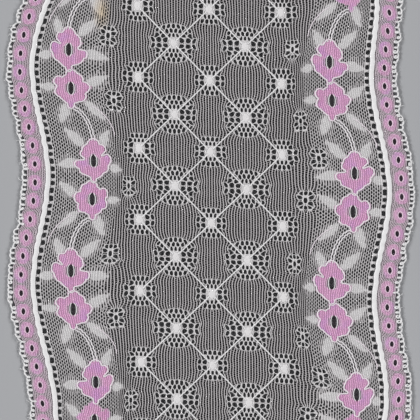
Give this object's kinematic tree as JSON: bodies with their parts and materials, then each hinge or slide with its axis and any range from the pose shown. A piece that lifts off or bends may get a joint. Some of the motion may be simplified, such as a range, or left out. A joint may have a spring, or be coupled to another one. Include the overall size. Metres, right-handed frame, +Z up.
{
  "type": "stretch lace band",
  "caption": "Cut length of wide stretch lace lying flat: wavy picot edges, flower borders and a lattice of open medallions.",
  "frame": {"origin": "middle of the band's box, on its underside", "axes": "+Y along the band towards the top of the flowers, +X across it, +Z up out of the right side of the lace"},
  "size_m": [0.1582, 0.1822, 0.0017],
  "materials": {
    "lace_yarn": "matt knitted nylon and elastane yarn, white with pink flowers"
  },
  "bodies": {
    "root": {"lace_band": "lace_yarn"}
  },
  "joints": []
}
